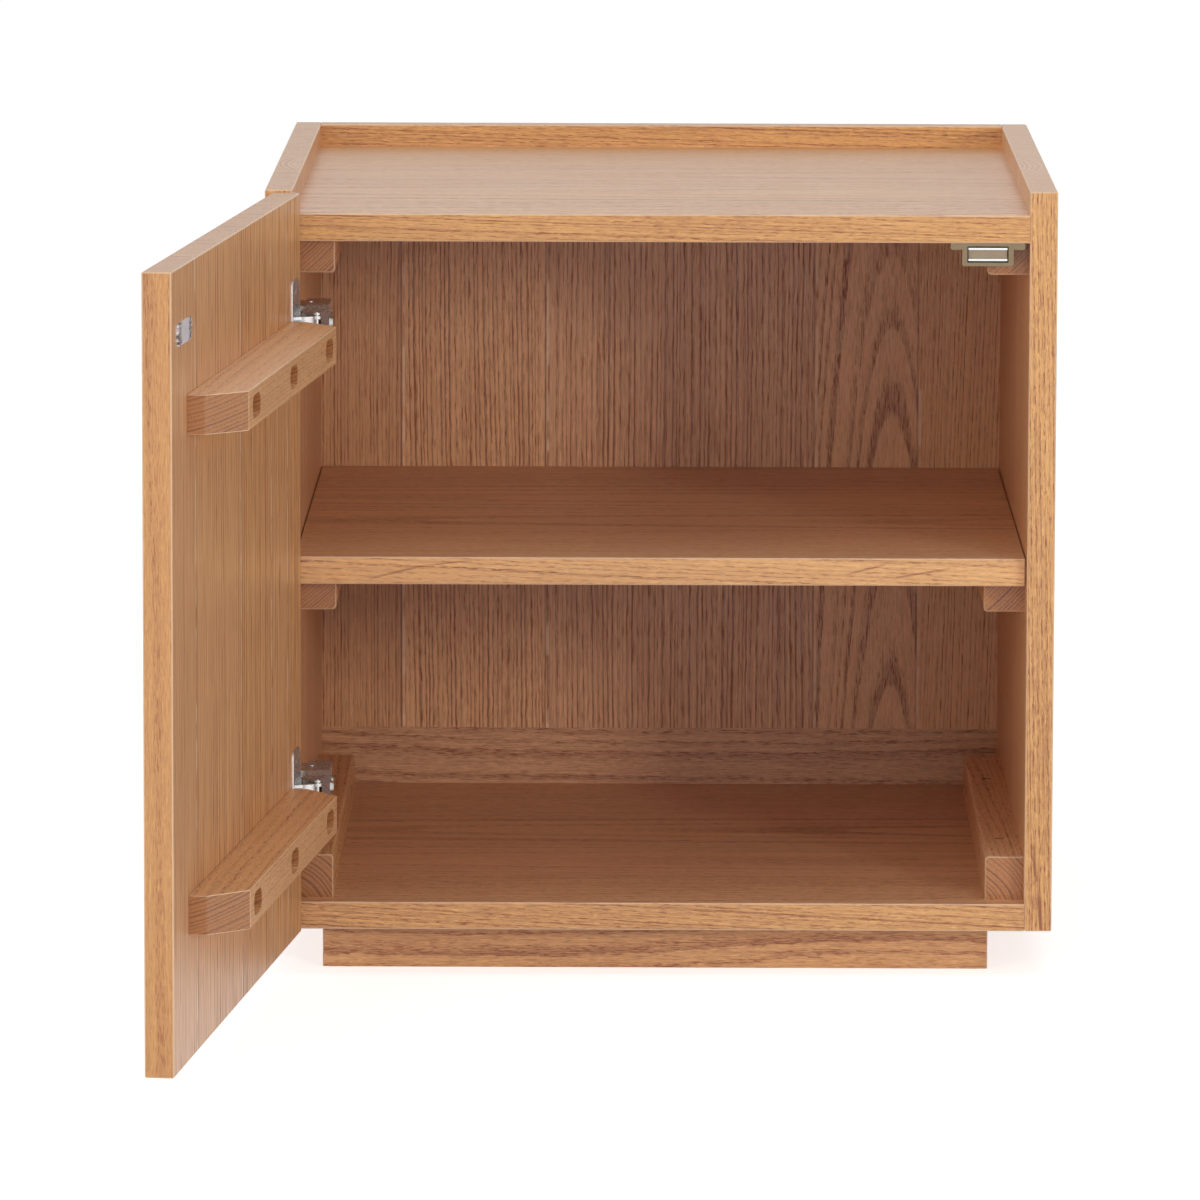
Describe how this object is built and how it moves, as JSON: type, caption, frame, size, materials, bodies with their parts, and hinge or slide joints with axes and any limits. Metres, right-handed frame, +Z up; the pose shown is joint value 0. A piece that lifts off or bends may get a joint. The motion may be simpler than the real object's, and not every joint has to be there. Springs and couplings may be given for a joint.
{
  "type": "nightstand",
  "caption": "Square oak bedside cabinet with a raised back and side lip, one loose shelf, a recessed plinth and a full overlay door on concealed hinges with a magnetic catch.",
  "frame": {"origin": "on the floor, on the cabinet's centre line, at the middle of the thickness of the plinth's front board", "axes": "+X to the right seen from the front, +Y from the front to the back, +Z up; the door stands open towards -Y"},
  "size_m": [0.5495, 0.9989, 0.503],
  "materials": {
    "oak": "oiled oak, open grain",
    "zinc_screw": "zinc plated",
    "nickel_steel": "nickel plated pressed steel",
    "galvanised": "yellowish zinc plate",
    "bright_steel": "bright steel",
    "ferrite": "dark grey sintered magnet"
  },
  "bodies": {
    "carcass": {"side_left": "oak", "side_right": "oak", "top_panel": "oak", "gallery_rail": "oak", "back_panel": "oak", "lower_back_rail": "oak", "shelf": "oak", "bottom_panel": "oak", "top_cleat_left": "oak", "top_cleat_right": "oak", "shelf_cleat_left": "oak", "shelf_cleat_right": "oak", "bottom_batten_left": "oak", "bottom_batten_right": "oak", "plinth_front": "oak", "plinth_back": "oak", "plinth_left": "oak", "plinth_right": "oak", "plinth_blocks": "oak", "back_dowels": "oak", "batten_screws": "zinc_screw", "cleat_screws": "zinc_screw", "plinth_screws": "zinc_screw", "catch_screws": "zinc_screw", "plate_screws": "zinc_screw", "arm_bolts": "zinc_screw", "hinge_arm_lower": "nickel_steel", "hinge_arm_upper": "nickel_steel", "hinge_plate_lower": "nickel_steel", "hinge_plate_upper": "nickel_steel", "arm_pins": "nickel_steel", "catch_housing": "galvanised", "catch_poles": "bright_steel", "catch_magnet": "ferrite"},
    "swing_links": {"swing_link_lower": "nickel_steel", "swing_link_upper": "nickel_steel"},
    "door": {"door_panel": "oak", "door_batten_lower": "oak", "door_batten_upper": "oak", "door_batten_screws": "zinc_screw", "strike_plate": "nickel_steel", "strike_screws": "zinc_screw", "hinge_cup_lower": "nickel_steel", "hinge_cup_upper": "nickel_steel", "cup_pins": "nickel_steel", "cup_screws": "zinc_screw"},
    "guide_links": {"guide_link_lower": "nickel_steel", "guide_link_upper": "nickel_steel"}
  },
  "joints": [
    {"name": "link_swing", "type": "hinge", "parent": "carcass", "child": "swing_links", "pos_m": [-0.2283, -0.03375, 0], "axis": [0, 0, 1], "range_deg": [-28.5, 0]},
    {"name": "door_swing", "type": "hinge", "parent": "swing_links", "child": "door", "pos_m": [-0.23271, -0.05424, 0], "axis": [0, 0, 1], "range_deg": [-0.3, 125.1]},
    {"name": "guide_swing", "type": "hinge", "parent": "door", "child": "guide_links", "pos_m": [-0.23537, -0.05872, 0], "axis": [0, 0, 1], "range_deg": [-117.1, 0.3]}
  ],
  "couplings": [
    {"joint": "door_swing", "follows": "link_swing", "ratio": -4.3789},
    {"joint": "guide_swing", "follows": "link_swing", "ratio": 4.0982}
  ]
}
